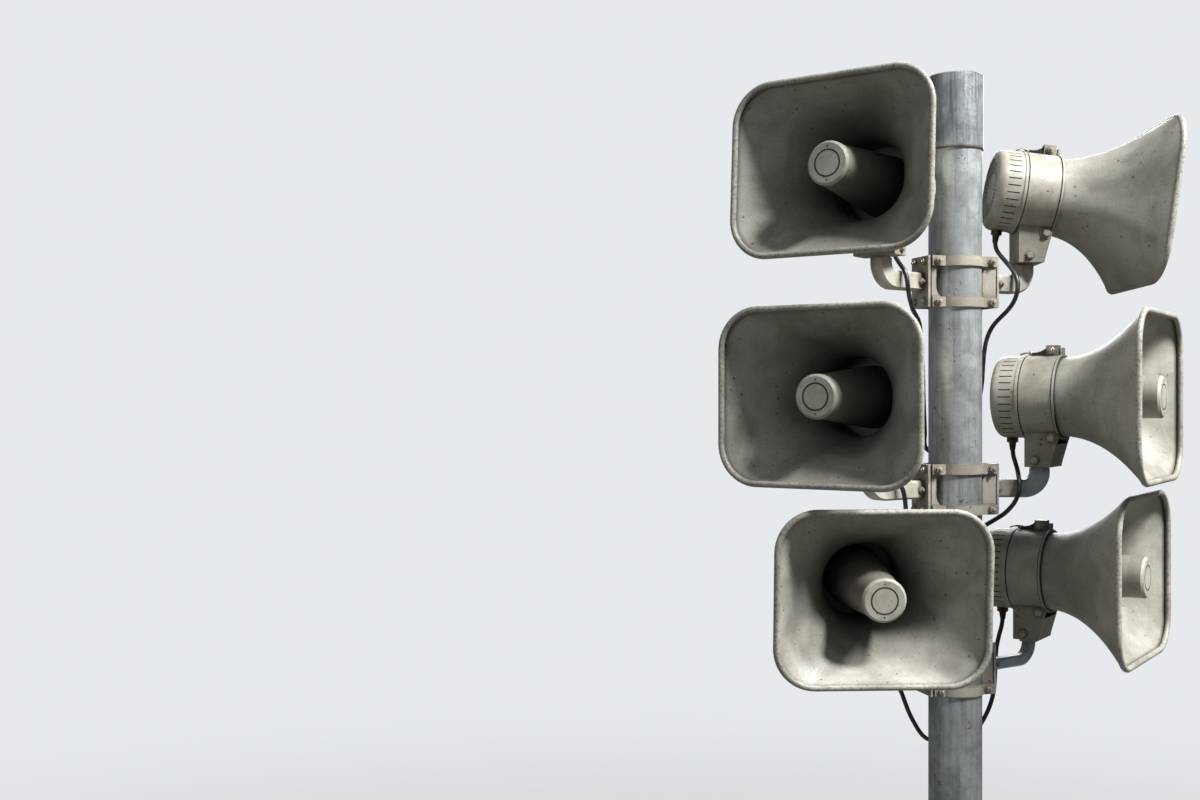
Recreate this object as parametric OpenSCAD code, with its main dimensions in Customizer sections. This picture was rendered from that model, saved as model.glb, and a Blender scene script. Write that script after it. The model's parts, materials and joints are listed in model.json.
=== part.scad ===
// Siren mast: a galvanised tube on a base plate, with six flared horns
// on three clamps. Millimetres, +Z up, origin at the middle of the base
// plate's underside. -Y is the side that the middle left horn looks from.

/* [Mast] */
// Height from the ground to the top of the cap
mast_h = 5000; // [4600:10:6500]
// Outer diameter of the mast tube
pole_d = 140; // [130:1:146]
// Wall of the mast tube
pole_wall = 6; // [4:0.5:10]
// Length of the sleeve cap at the top
cap_len = 200; // [120:5:230]
// Wall of the sleeve cap
cap_wall = 3; // [2:0.5:5]
// Side of the square base plate
base_w = 360; // [300:5:500]
// Thickness of the base plate
base_t = 20; // [12:1:40]
// Distance between the anchor holes
anchor_pitch = 280; // [240:5:290]
// Diameter of the anchor holes
anchor_hole_d = 26; // [18:1:32]
// Height of the gussets on the base plate
gusset_h = 140; // [80:5:250]
// Thickness of the gussets
gusset_t = 10; // [6:1:16]

/* [Levels] */
// Drop from the top of the mast to the upper horns' axes
top_drop = 307; // [300:1:340]
// Drop from the top of the mast to the middle horns' axes
mid_drop = 857; // [850:1:880]
// Drop from the top of the mast to the lower horns' axes
low_drop = 1333; // [1328:1:1400]
// Turn of the upper clamp about the mast
top_turn = 15; // [10:1:20]
// Turn of the middle clamp about the mast
mid_turn = 15; // [10:1:20]
// Turn of the lower clamp about the mast
low_turn = 14; // [9:1:19]

/* [Horn places] */
// Azimuth of the upper left horn's pin about the mast
top_left_azimuth = 208; // [206:1:210]
// Distance of the upper left horn's pin from the mast's axis
top_left_reach = 252; // [246:1:256]
// Heading of the upper left horn
top_left_heading = -126; // [-128:1:-120]
// Tilt of the upper left horn, up is positive
top_left_tilt = 3; // [0:1:4]
// Azimuth of the upper right horn's pin about the mast
top_right_azimuth = 22; // [20:1:24]
// Distance of the upper right horn's pin from the mast's axis
top_right_reach = 224; // [222:1:230]
// Heading of the upper right horn
top_right_heading = -4; // [-6:1:2]
// Tilt of the upper right horn, up is positive
top_right_tilt = -8; // [-9:1:0]
// Azimuth of the middle left horn's pin about the mast
mid_left_azimuth = 208; // [206:1:210]
// Distance of the middle left horn's pin from the mast's axis
mid_left_reach = 290; // [284:1:294]
// Heading of the middle left horn
mid_left_heading = -125; // [-128:1:-120]
// Tilt of the middle left horn, up is positive
mid_left_tilt = 0; // [-2:1:2]
// Azimuth of the middle right horn's pin about the mast
mid_right_azimuth = 3; // [1:1:5]
// Distance of the middle right horn's pin from the mast's axis
mid_right_reach = 230; // [228:1:236]
// Heading of the middle right horn
mid_right_heading = -33; // [-35:1:-31]
// Tilt of the middle right horn, up is positive
mid_right_tilt = 0; // [-2:1:2]
// Azimuth of the lower left horn's pin about the mast
low_left_azimuth = 186.4; // [184.4:0.2:188.4]
// Distance of the lower left horn's pin from the mast's axis
low_left_reach = 280; // [274:1:286]
// Heading of the lower left horn
low_left_heading = -87; // [-92:1:-84]
// Tilt of the lower left horn, up is positive
low_left_tilt = -4; // [-5:1:0]
// Azimuth of the lower right horn's pin about the mast
low_right_azimuth = 27; // [25:1:29]
// Distance of the lower right horn's pin from the mast's axis
low_right_reach = 262; // [256:1:268]
// Heading of the lower right horn
low_right_heading = -35; // [-38:1:-32]
// Tilt of the lower right horn, up is positive
low_right_tilt = 0; // [-2:1:2]

/* [Horn] */
// Width of the horn's mouth over its rim
mouth_w = 540; // [440:2:560]
// Height of the horn's mouth over its rim
mouth_h = 446; // [380:2:460]
// Outer corner radius of the mouth
mouth_corner_r = 106; // [90:1:140]
// Length of the flare from the throat band to the mouth
flare_len = 250; // [220:1:270]
// How late the flare opens sideways
flare_power_w = 1.75; // [1.4:0.05:2.4]
// How late the flare opens upwards
flare_power_h = 1.9; // [1.4:0.05:2.4]
// Wall of the flare
bell_wall = 3; // [2:0.5:5]
// Radius of the rolled bead round the mouth
bead_r = 8; // [6:0.5:10]
// Radius of the throat band
band_r = 111; // [104:0.5:114]
// Length of the throat band
band_len = 91; // [80:1:100]
// Wall of the throat band
band_wall = 6; // [4:0.5:8]
// Length of the driver cover behind the band
cover_len = 80; // [66:1:84]
// Rounding of the driver cover's rear edge
cover_round = 20; // [12:1:26]
// Radius of the nozzle at its tip
nozzle_tip_r = 54; // [44:1:60]
// Radius of the nozzle at its foot
nozzle_foot_r = 82; // [64:1:88]
// Radius of the round plug in the nozzle's tip
plug_r = 31; // [20:1:38]

/* [Bracket and arm] */
// Distance from the mouth back to the swivel pin
pin_setback = 315; // [305:1:320]
// Width of the bracket over its cheeks
bracket_w = 116; // [108:2:124]
// Sheet of the bracket
bracket_t = 6; // [4:0.5:8]
// Depth of the bracket's underside below the horn's axis
bracket_drop = 186; // [182:1:190]
// Radius of the swivel pin
pin_r = 17; // [12:0.5:20]
// Radial clearance of the swivel pin in its hub
pin_clear = 0.05; // [0.02:0.01:0.1]
// Depth of the arms below the horns' axes
arm_drop = 245; // [242:1:256]
// Height of the upper and middle arms' bars
bar_h = 48; // [36:1:52]
// Width of the upper and middle arms' bars
bar_w = 40; // [30:1:42]
// Height of the lower arms' bars
low_bar_h = 30; // [26:1:40]
// Width of the lower arms' bars
low_bar_w = 30; // [24:1:40]
// Radius of the arms' bend on its middle line
bend_r = 44; // [36:1:48]

/* [Clamp] */
// Height of the clamps
clamp_h = 135; // [110:1:150]
// Height of each strap
strap_h = 27; // [18:1:34]
// Thickness of the straps
strap_t = 6; // [4:0.5:8]
// Distance from the mast's axis to the outer faces of the upper and middle clamps
clamp_reach = 95; // [92:1:98]
// Distance from the mast's axis to the outer faces of the lower clamp
low_clamp_reach = 86; // [84:1:92]
// Plate of the clamp and of the arm's foot
clamp_t = 6; // [4:0.5:8]
// Gap between the clamp and the arm's foot, filled by four pads
foot_gap = 3; // [2:0.5:4]

/* [Leads] */
// Diameter of the black leads
lead_d = 12; // [8:1:14]
// Radius of the bosses where the leads enter the mast
entry_r = 9; // [8:0.5:12]
// Distance from the mast's axis to the faces of those bosses
entry_reach = 86; // [80:1:86]

/* [Hidden] */
$fn = 64;
seat_gap = 0.3;
side_count = 32;
lead_sides = 8;

pole_r = pole_d / 2;
strap_in = pole_r + seat_gap;
strap_out = strap_in + strap_t;
strap_bow = 50;
ear_y = strap_out * cos(strap_bow) - strap_t / 2;

band_x = pin_setback - flare_len;
cover_x = band_x - band_len;
rear_x = cover_x - cover_len;
bore_r = band_r - band_wall;
back_wall = 8;
lip = 2.5;
lip_len = 5;
ear_len = 32;
ear_front = band_x - 12;
ear_rear = ear_front - ear_len;
ear_top = band_r + 27;
neck_len = 12;
throat_r = bore_r - seat_gap - bell_wall / 2;
pivot_x = band_x - 18;
pivot_z = -108;
boss_r = 17;
lug_t = 13;
cheek_in = bracket_w / 2 - bracket_t;
hub_r = pin_r + 11;
hub_h = 36;
rear_edge = -24;
gland_x = rear_x + 34;
gland_r = 9;
gland_drop = 16;
slot_count = 36;
slot_w = 3;
slot_len = 33;
slot_deep = 3;
slot_setback = 21;

// Height and width of the bars, and reach of the clamps, at each level
BAR = [bar_h, bar_w];
LOW_BAR = [low_bar_h, low_bar_w];

// Name, drop, azimuth and reach of the pin, heading, tilt, clamp's turn and reach, bar
HORNS = [
    [
        "top_left", top_drop, top_left_azimuth, top_left_reach,
        top_left_heading, top_left_tilt, top_turn, clamp_reach, BAR
    ],
    [
        "top_right", top_drop, top_right_azimuth, top_right_reach,
        top_right_heading, top_right_tilt, top_turn, clamp_reach, BAR
    ],
    [
        "middle_left", mid_drop, mid_left_azimuth, mid_left_reach,
        mid_left_heading, mid_left_tilt, mid_turn, clamp_reach, BAR
    ],
    [
        "middle_right", mid_drop, mid_right_azimuth, mid_right_reach,
        mid_right_heading, mid_right_tilt, mid_turn, clamp_reach, BAR
    ],
    [
        "bottom_left", low_drop, low_left_azimuth, low_left_reach,
        low_left_heading, low_left_tilt, low_turn, low_clamp_reach, LOW_BAR
    ],
    [
        "bottom_right", low_drop, low_right_azimuth, low_right_reach,
        low_right_heading, low_right_tilt, low_turn, low_clamp_reach, LOW_BAR
    ]
];

// Middle line of each lead, from its gland to the rear of the mast.
// The heights are counted from the top of the mast.
LEADS = [
    ["top_left", [
        [-181, -61, -440], [-181, -62, -454], [-180, -67, -472], [-176, -78, -490],
        [-169, -93, -508], [-160, -108, -528], [-155, -115, -550], [-152, -115, -573],
        [-147, -107, -595], [-139, -92, -613], [-129, -71, -628], [-117, -46, -638],
        [-105, -21, -648], [-95, 3, -661], [-87, 25, -680], [-81, 41, -706],
        [-77, 51, -738], [-74, 56, -776], [-72, 59, -818], [-70, 63, -858],
        [-67, 70, -896], [-63, 80, -930], [-59, 93, -957], [-57, 107, -977],
        [-52, 120, -992], [-43, 130, -1003], [-30, 135, -1009], [-17, 133, -1010],
        [-7, 125, -1010], [-1, 113, -1010], [0, 100, -1010], [0, 86, -1010]
    ]],
    ["top_right", [
        [135, 89, -417], [133, 89, -431], [134, 85, -449], [141, 75, -467],
        [152, 60, -487], [163, 43, -508], [171, 27, -531], [173, 18, -555],
        [170, 16, -579], [162, 20, -602], [150, 29, -622], [135, 41, -640],
        [121, 50, -657], [110, 58, -677], [102, 64, -702], [97, 68, -735],
        [94, 70, -776], [92, 72, -816], [88, 77, -852], [82, 85, -882],
        [74, 94, -906], [66, 103, -926], [58, 112, -942], [49, 122, -953],
        [38, 130, -959], [25, 133, -960], [13, 129, -960], [4, 120, -960],
        [0, 109, -960], [0, 98, -960], [0, 86, -960]
    ]],
    ["middle_left", [
        [-215, -77, -984], [-215, -78, -998], [-211, -85, -1017], [-202, -97, -1037],
        [-189, -109, -1057], [-175, -118, -1079], [-165, -119, -1102], [-159, -112, -1125],
        [-154, -98, -1147], [-148, -79, -1166], [-141, -56, -1182], [-133, -28, -1196],
        [-123, -2, -1208], [-112, 23, -1219], [-99, 47, -1230], [-86, 69, -1241],
        [-74, 88, -1254], [-64, 105, -1268], [-55, 119, -1281], [-44, 129, -1291],
        [-31, 134, -1297], [-18, 132, -1300], [-7, 125, -1300], [-1, 114, -1300],
        [0, 100, -1300], [0, 86, -1300]
    ]],
    ["middle_right", [
        [169, 51, -984], [169, 50, -998], [169, 43, -1016], [170, 29, -1034],
        [170, 11, -1052], [168, -7, -1071], [166, -19, -1092], [162, -23, -1115],
        [154, -18, -1137], [143, -7, -1156], [131, 8, -1172], [117, 27, -1186],
        [103, 45, -1199], [91, 63, -1211], [81, 80, -1222], [72, 96, -1232],
        [63, 110, -1240], [52, 122, -1246], [39, 130, -1249], [26, 132, -1250],
        [13, 128, -1250], [4, 119, -1250], [0, 108, -1250], [0, 97, -1250],
        [0, 86, -1250]
    ]],
    ["bottom_left", [
        [-282, 42, -1451], [-282, 43, -1466], [-279, 46, -1487], [-271, 50, -1510],
        [-258, 54, -1533], [-241, 58, -1553], [-221, 62, -1571], [-199, 66, -1587],
        [-178, 70, -1603], [-158, 74, -1620], [-141, 78, -1640], [-127, 82, -1663],
        [-117, 86, -1688], [-107, 91, -1713], [-96, 97, -1736], [-84, 103, -1757],
        [-72, 110, -1776], [-60, 118, -1791], [-47, 126, -1802], [-33, 132, -1808],
        [-19, 131, -1810], [-8, 123, -1810], [-1, 112, -1810], [0, 99, -1810],
        [0, 86, -1810]
    ]],
    ["bottom_right", [
        [174, 160, -1460], [174, 160, -1474], [171, 158, -1494], [164, 154, -1515],
        [157, 149, -1537], [151, 143, -1561], [148, 137, -1587], [145, 131, -1613],
        [142, 125, -1639], [138, 119, -1665], [131, 114, -1691], [121, 110, -1716],
        [109, 108, -1740], [96, 109, -1763], [83, 112, -1785], [70, 118, -1805],
        [56, 124, -1822], [41, 130, -1834], [26, 132, -1841], [13, 128, -1842],
        [4, 119, -1842], [0, 108, -1842], [0, 97, -1842], [0, 86, -1842]
    ]]
];

// Moves a horn's own frame, x forward and z up from the pin, to its place
module at_post(h) {
    translate([h[3] * cos(h[2]), h[3] * sin(h[2]), mast_h - h[1]])
        children();
}
module at_horn(h) {
    at_post(h)
        rotate([0, 0, h[4]])
            children();
}
module tilted(h) {
    translate([pivot_x, 0, pivot_z])
        rotate([0, -h[5], 0])
            translate([-pivot_x, 0, -pivot_z])
                children();
}
// Turns a shape made round z so that z points forward along x
module forward() {
    rotate([0, 90, 0])
        children();
}

module mast() {
    color("lightslategray") {
        difference() {
            union() {
                translate([0, 0, base_t])
                    cylinder(h = mast_h - cap_wall - seat_gap - base_t, r = pole_r);
                translate([-base_w / 2, -base_w / 2, 0])
                    cube([base_w, base_w, base_t]);
                for (a = [0 : 90 : 270])
                    rotate([0, 0, a])
                        gusset();
                for (l = LEADS)
                    entry_boss(l[1][len(l[1]) - 1]);
            }
            translate([0, 0, base_t])
                cylinder(h = mast_h, r = pole_r - pole_wall);
            for (x = [-1, 1])
                for (y = [-1, 1])
                    translate([x * anchor_pitch / 2, y * anchor_pitch / 2, -1])
                        cylinder(h = base_t + 2, d = anchor_hole_d);
        }
    }
}
module gusset() {
    inner = pole_r - pole_wall / 2;
    outer = base_w / 2 - 15;
    toe = 15;
    translate([0, gusset_t / 2, base_t])
        rotate([90, 0, 0])
            linear_extrude(gusset_t)
                polygon([
                    [inner, -1], [outer, -1], [outer, toe],
                    [inner + toe, gusset_h], [inner, gusset_h]
                ]);
}

// Boss on the rear of the tube where a lead that ends at p goes in
module entry_boss(p) {
    inner = pole_r - pole_wall / 2;
    translate([p[0], inner, mast_h + p[2]])
        rotate([-90, 0, 0])
            cylinder(h = entry_reach - inner, r = entry_r);
}

module mast_cap() {
    r_in = pole_r + seat_gap;
    r_out = r_in + cap_wall;
    edge = cap_wall;
    color("slategray")
        translate([0, 0, mast_h - cap_len])
            rotate_extrude()
                polygon([
                    [r_in, 0], [r_out, 0], [r_out, cap_len - edge],
                    [r_out - edge, cap_len], [0, cap_len],
                    [0, cap_len - cap_wall], [r_in, cap_len - cap_wall]
                ]);
}

// Both channel plates of one clamp
module clamp_plates(drop, turn, reach) {
    color("tan")
        translate([0, 0, mast_h - drop - arm_drop])
            rotate([0, 0, turn])
                for (side = [0, 180])
                    rotate([0, 0, side])
                        channel(reach);
}
module channel(reach) {
    difference() {
        union() {
            translate([reach - clamp_t, -ear_y, -clamp_h / 2])
                cube([clamp_t, 2 * ear_y, clamp_h]);
            translate([reach, clamp_t - ear_y, 0])
                rotate([90, 0, 0])
                    linear_extrude(clamp_t)
                        rounded_flange();
            translate([reach, ear_y, 0])
                rotate([90, 0, 0])
                    linear_extrude(clamp_t)
                        scalloped_flange();
        }
        translate([0, 0, -clamp_h])
            cylinder(h = 2 * clamp_h, r = strap_in);
    }
}
// Both flanges are drawn from the web at x = 0 towards the mast
flange_w = 46;
flange_top = clamp_h / 2 - strap_h;
module rounded_flange() {
    r = 36;
    difference() {
        translate([-flange_w, -clamp_h / 2])
            square([flange_w, clamp_h]);
        difference() {
            translate([-flange_w - 1, flange_top - r])
                square([r + 1, r]);
            translate([r - flange_w, flange_top - r])
                circle(r = r);
        }
    }
}
module scalloped_flange() {
    neck = 14;
    r = flange_w - neck;
    foot = -14;
    difference() {
        translate([-flange_w, -clamp_h / 2])
            square([flange_w, clamp_h]);
        translate([-flange_w - 1, foot])
            square([r + 1, flange_top - foot]);
        translate([-flange_w, foot])
            circle(r = r);
    }
}

// The four straps of one clamp: upper and lower, front and rear
module clamp_straps(drop, turn, reach) {
    color("wheat")
        translate([0, 0, mast_h - drop - arm_drop])
            rotate([0, 0, turn])
                for (side = [0, 180])
                    rotate([0, 0, side])
                        for (z = [-clamp_h / 2, clamp_h / 2 - strap_h])
                            translate([0, 0, z])
                                strap(reach);
}
module strap(reach) {
    overlap = 4;
    ear_in = strap_in * sin(strap_bow) - overlap;
    linear_extrude(strap_h)
        difference() {
            union() {
                intersection() {
                    circle(r = strap_out);
                    translate([-strap_out, -strap_out])
                        square([2 * strap_out, strap_out - ear_y]);
                }
                for (x = [-reach, ear_in])
                    translate([x, -ear_y - strap_t])
                        square([reach - ear_in, strap_t]);
            }
            circle(r = strap_in);
        }
}

// Foot plate with its pads, bar and bend, from the clamp to the swivel pin
pad_r = 10;
pad_y = 25;
pad_z = 52;
seat_t = 12;
module arm(h) {
    reach = h[7];
    size = h[8];
    turn = h[6] + (abs(h[2]) > 90 ? 180 : 0);
    face = reach + foot_gap + clamp_t;
    post = [h[3] * cos(h[2]), h[3] * sin(h[2])];
    foot = [face * cos(turn), face * sin(turn)];
    run = norm(post - foot);
    back = atan2(foot[1] - post[1], foot[0] - post[0]);
    color("gray")
        union() {
            translate([0, 0, mast_h - h[1] - arm_drop])
                rotate([0, 0, turn]) {
                    translate([reach + foot_gap, -ear_y, -clamp_h / 2])
                        cube([clamp_t, 2 * ear_y, clamp_h]);
                    for (y = [-pad_y, pad_y])
                        for (z = [-pad_z, pad_z])
                            translate([reach, y, z])
                                forward()
                                    cylinder(h = foot_gap + clamp_t / 2, r = pad_r);
                }
            difference() {
                at_post(h)
                    rotate([0, 0, back])
                        bar(run, size);
                translate([0, 0, mast_h - h[1] - arm_drop])
                    rotate([0, 0, turn])
                        translate([0, -clamp_h, -clamp_h])
                            cube([face - clamp_t / 2, 2 * clamp_h, 2 * clamp_h]);
            }
            at_post(h)
                translate([0, 0, -bracket_drop - seat_t])
                    cylinder(h = seat_t - seat_gap, r = bar_h / 2);
            at_post(h)
                translate([0, 0, -bracket_drop - 2])
                    cylinder(h = hub_h - 2, r = pin_r);
        }
}
// The bar's section is a rectangle with cut corners, size [height, width]
module bar_section(size) {
    cut = 5;
    a = size[0] / 2;
    b = size[1] / 2;
    polygon([
        [-a + cut, -b], [a - cut, -b], [a, -b + cut], [a, b - cut],
        [a - cut, b], [-a + cut, b], [-a, b - cut], [-a, -b + cut]
    ]);
}
module bar(run, size) {
    bend_z = -arm_drop + bend_r;
    over = 30;
    translate([0, 0, bend_z])
        linear_extrude(-bracket_drop - 4 - bend_z)
            bar_section(size);
    translate([bend_r, 0, bend_z])
        rotate([90, 0, 0])
            rotate([0, 0, 180])
                rotate_extrude(angle = 90)
                    translate([bend_r, 0])
                        bar_section(size);
    translate([bend_r, 0, -arm_drop])
        forward()
            linear_extrude(run - bend_r + over)
                bar_section(size);
}

// Folded bracket under the throat band, with the hub for the pin
floor_front = 44;
cheek_top = -76;
rear_top = -94;
module bracket(h) {
    color("dimgray")
        at_horn(h)
            difference() {
                union() {
                    for (y = [-cheek_in, bracket_w / 2])
                        translate([0, y, 0])
                            rotate([90, 0, 0])
                                linear_extrude(bracket_t)
                                    cheek();
                    translate([rear_edge, -bracket_w / 2, -bracket_drop])
                        cube([floor_front - rear_edge, bracket_w, bracket_t]);
                    translate([rear_edge, -bracket_w / 2, -bracket_drop])
                        cube([bracket_t, bracket_w, bracket_drop + rear_top]);
                    translate([0, bracket_w / 2 - 1, 0])
                        rotate([90, 0, 0])
                            linear_extrude(bracket_w - 2)
                                front_plate();
                    translate([0, 0, -bracket_drop])
                        cylinder(h = hub_h, r = hub_r);
                }
                tilted(h)
                    translate([cover_x - 20, 0, 0])
                        forward()
                            cylinder(h = band_len + 14, r = band_r + seat_gap);
                tilted(h)
                    translate([band_x - lip_len - 1, 0, 0])
                        forward()
                            cylinder(h = 30, r = band_r + lip + seat_gap);
                translate([0, 0, -bracket_drop - 1])
                    cylinder(h = hub_h + 2, r = pin_r + pin_clear);
            }
}
cheek_front = pivot_x + 15;
cheek_knee = pivot_z - 8;
module cheek() {
    cut = 6;
    polygon([
        [rear_edge, cut - bracket_drop], [rear_edge + cut, -bracket_drop],
        [floor_front - cut, -bracket_drop], [floor_front, cut - bracket_drop],
        [cheek_front, cheek_knee], [cheek_front - 5, cheek_top], [rear_edge, cheek_top]
    ]);
    translate([pivot_x, pivot_z])
        circle(r = boss_r);
}
// The sloped plate between the cheeks ends below the band's lugs
module front_plate() {
    top = pivot_z - boss_r;
    lean = (cheek_front - floor_front) / (cheek_knee + bracket_drop);
    top_x = floor_front + lean * (top + bracket_drop);
    polygon([
        [floor_front - bracket_t, -bracket_drop], [floor_front - 1, -bracket_drop],
        [top_x - 1, top], [top_x - bracket_t, top]
    ]);
}

// Round band that joins the flare to the driver, with its ears and latch strap
module band(h) {
    ear_w = 28;
    latch_w = 14;
    lug_len = 20;
    color("darkkhaki")
        at_horn(h)
            tilted(h)
                difference() {
                    union() {
                        translate([cover_x, 0, 0])
                            forward()
                                cylinder(h = band_len, r = band_r);
                        translate([band_x - lip_len, 0, 0])
                            forward()
                                cylinder(h = lip_len, r = band_r + lip);
                        translate([ear_rear, -ear_w / 2, 0])
                            cube([ear_front - ear_rear, ear_w, ear_top]);
                        translate([band_x - lip_len, -lug_len / 2, 0])
                            cube([lip_len, lug_len, band_r + lug_len]);
                        translate([0, latch_w / 2, 0])
                            rotate([90, 0, 0])
                                linear_extrude(latch_w)
                                    latch_strap();
                        for (y = [lug_t - cheek_in + seat_gap, cheek_in - seat_gap])
                            translate([pivot_x, y, pivot_z])
                                rotate([90, 0, 0])
                                    cylinder(h = lug_t, r = boss_r - 3);
                    }
                    translate([cover_x + back_wall, 0, 0])
                        forward()
                            cylinder(h = band_len, r = bore_r);
                }
}
module latch_strap() {
    polygon([
        [cover_x + 8, band_r - 3], [ear_rear + 1, band_r - 3], [ear_rear + 1, ear_top - 6],
        [ear_rear - 14, band_r + 12], [cover_x + 20, band_r + 5], [cover_x + 8, band_r + 5]
    ]);
}

// Closed driver cover with cooling slots, and the cable gland under it
module cover(h) {
    cover_r = band_r - 1;
    rim_w = 8;
    rim_out = 2;
    groove = 3;
    disc_r = cover_r - cover_round - 6;
    slot_rear = cover_x - slot_setback - slot_len;
    color("darkseagreen")
        at_horn(h)
            tilted(h) {
                difference() {
                    translate([rear_x, 0, 0])
                        forward()
                            rotate_extrude()
                                union() {
                                    square([cover_r - cover_round, cover_len]);
                                    translate([0, cover_round])
                                        square([cover_r, cover_len - cover_round - groove]);
                                    translate([0, cover_len - groove - rim_w])
                                        square([cover_r + rim_out, rim_w]);
                                    intersection() {
                                        translate([cover_r - cover_round, cover_round])
                                            circle(r = cover_round);
                                        square([cover_r, cover_round + 1]);
                                    }
                                }
                    translate([rear_x - 1, 0, 0])
                        forward()
                            cylinder(h = 1 + slot_deep, r = disc_r);
                    for (k = [0 : slot_count - 1])
                        rotate([k * 360 / slot_count, 0, 0]) {
                            translate([slot_rear, -slot_w / 2, cover_r - slot_deep])
                                cube([slot_len, slot_w, slot_deep + 1]);
                            translate([rear_x, -slot_w / 2, disc_r / 2])
                                cube([2 * slot_deep, slot_w, slot_len]);
                        }
                }
                translate([gland_x, 0, -cover_r - gland_drop])
                    cylinder(h = gland_drop + 12, r = gland_r);
                translate([gland_x, 0, -cover_r - 12])
                    cylinder(h = 16, r = gland_r + 5, $fn = 6);
            }
}

// Reflector nozzle that stands on the driver inside the throat
module nozzle(h) {
    foot = cover_x + back_wall;
    len = pin_setback - foot;
    color("ivory")
        at_horn(h)
            tilted(h)
                translate([foot, 0, 0])
                    forward()
                        rotate_extrude()
                            polygon([
                                [0, 0], [nozzle_foot_r, 0],
                                [nozzle_tip_r + 1, len - 40], [nozzle_tip_r + 1, len - 6],
                                [nozzle_tip_r - 5, len], [plug_r + 3, len],
                                [plug_r + 3, len - 3], [plug_r, len - 3], [plug_r, len], [0, len]
                            ]);
}

// The flare: a round throat that opens into a mouth with round corners
flare_steps = 9;
bead_steps = 9;
bead_x = pin_setback - bead_r;
function grow(from, to, s, power) = from + (to - from) * pow(s, power);
function half_w(s) = grow(throat_r, mouth_w / 2 - bead_r, s, flare_power_w);
function half_h(s) = grow(throat_r, mouth_h / 2 - bead_r, s, flare_power_h);
function corner(s) = grow(throat_r, mouth_corner_r - bead_r, s, 1);
// Each profile point is [x, share of the flare, offset from the skin's middle]
skin_x = bead_x - bead_r * 0.9;
function skin(i, side) =
    let (s = i / flare_steps)
    [band_x + (skin_x - band_x) * s, s, side * bell_wall / 2];
bell_profile = concat(
    [[band_x - neck_len, 0, bell_wall / 2]],
    [for (i = [0 : flare_steps]) skin(i, 1)],
    [for (i = [0 : bead_steps])
        let (a = 150 - 300 * i / bead_steps)
        [bead_x + bead_r * cos(a), 1, bead_r * sin(a)]],
    [for (i = [flare_steps : -1 : 0]) skin(i, -1)],
    [[band_x - neck_len, 0, -bell_wall / 2]]
);
function ring(p) = [
    for (k = [0 : side_count - 1])
        let (
            q = floor(k * 4 / side_count),
            a = (k + 0.5) * 360 / side_count,
            sy = (q == 0 || q == 3) ? 1 : -1,
            sz = (q < 2) ? 1 : -1,
            r = corner(p[1]) + p[2]
        )
        [p[0],
         sy * (half_w(p[1]) - corner(p[1])) + r * cos(a),
         sz * (half_h(p[1]) - corner(p[1])) + r * sin(a)]
];
module bell(h) {
    rows = len(bell_profile);
    points = [for (p = bell_profile) for (v = ring(p)) v];
    faces = [
        for (j = [0 : rows - 1])
            for (k = [0 : side_count - 1])
                let (
                    j2 = (j + 1) % rows,
                    k2 = (k + 1) % side_count,
                    a = j * side_count + k,
                    b = j * side_count + k2,
                    c = j2 * side_count + k2,
                    d = j2 * side_count + k
                )
                for (f = [[a, c, b], [a, d, c]]) f
    ];
    color("beige")
        at_horn(h)
            tilted(h)
                polyhedron(points, faces);
}

// Black lead: a tube with flat sides along the points of its middle line
function unit(v) = v / norm(v);
function course(path, i) = unit(path[min(i + 1, len(path) - 1)] - path[max(i - 1, 0)]);
function square_to(u, t) = unit(u - (u * t) * t);
function sideways(path) = [
    for (
        i = 0, u = square_to([1, 0, 0], course(path, 0));
        i < len(path);
        i = i + 1, u = square_to(u, course(path, i))
    )
        u
];
module lead(path) {
    rings = len(path);
    across = sideways(path);
    points = [
        for (i = [0 : rings - 1])
            for (k = [0 : lead_sides - 1])
                let (
                    t = course(path, i),
                    a = k * 360 / lead_sides,
                    out = cos(a) * across[i] + sin(a) * cross(t, across[i])
                )
                path[i] + lead_d / 2 * out
    ];
    walls = [
        for (i = [0 : rings - 2])
            for (k = [0 : lead_sides - 1])
                let (
                    k2 = (k + 1) % lead_sides,
                    a = i * lead_sides
                )
                [a + k, a + lead_sides + k, a + lead_sides + k2, a + k2]
    ];
    ends = [
        [for (k = [0 : lead_sides - 1]) k],
        [for (k = [lead_sides - 1 : -1 : 0]) (rings - 1) * lead_sides + k]
    ];
    color("black")
        translate([0, 0, mast_h])
            polyhedron(points, concat(walls, ends));
}

mast();
mast_cap();
clamp_plates(top_drop, top_turn, clamp_reach);  // top_clamp_plates
clamp_straps(top_drop, top_turn, clamp_reach);  // top_clamp_straps
clamp_plates(mid_drop, mid_turn, clamp_reach);  // middle_clamp_plates
clamp_straps(mid_drop, mid_turn, clamp_reach);  // middle_clamp_straps
clamp_plates(low_drop, low_turn, low_clamp_reach);  // bottom_clamp_plates
clamp_straps(low_drop, low_turn, low_clamp_reach);  // bottom_clamp_straps
for (h = HORNS) {
    arm(h);
    bracket(h);
    band(h);
    bell(h);
    nozzle(h);
    cover(h);
}
for (l = LEADS)
    lead(l[1]);
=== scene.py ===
"""Looks of the siren mast: leads, flares, driver covers, bolts, finishes, light and camera.

Blender's lengths are in metres, +Z up, with the origin under the base plate. Shapes are
worked out in millimetres, and Shape.piece turns them into metres. A horn's own frame has
its origin on its swivel's axis at the height of the horn's middle line, with x forward
to the mouth and z up.
"""

import json
import math

import bpy
from mathutils import Matrix, Vector


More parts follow.
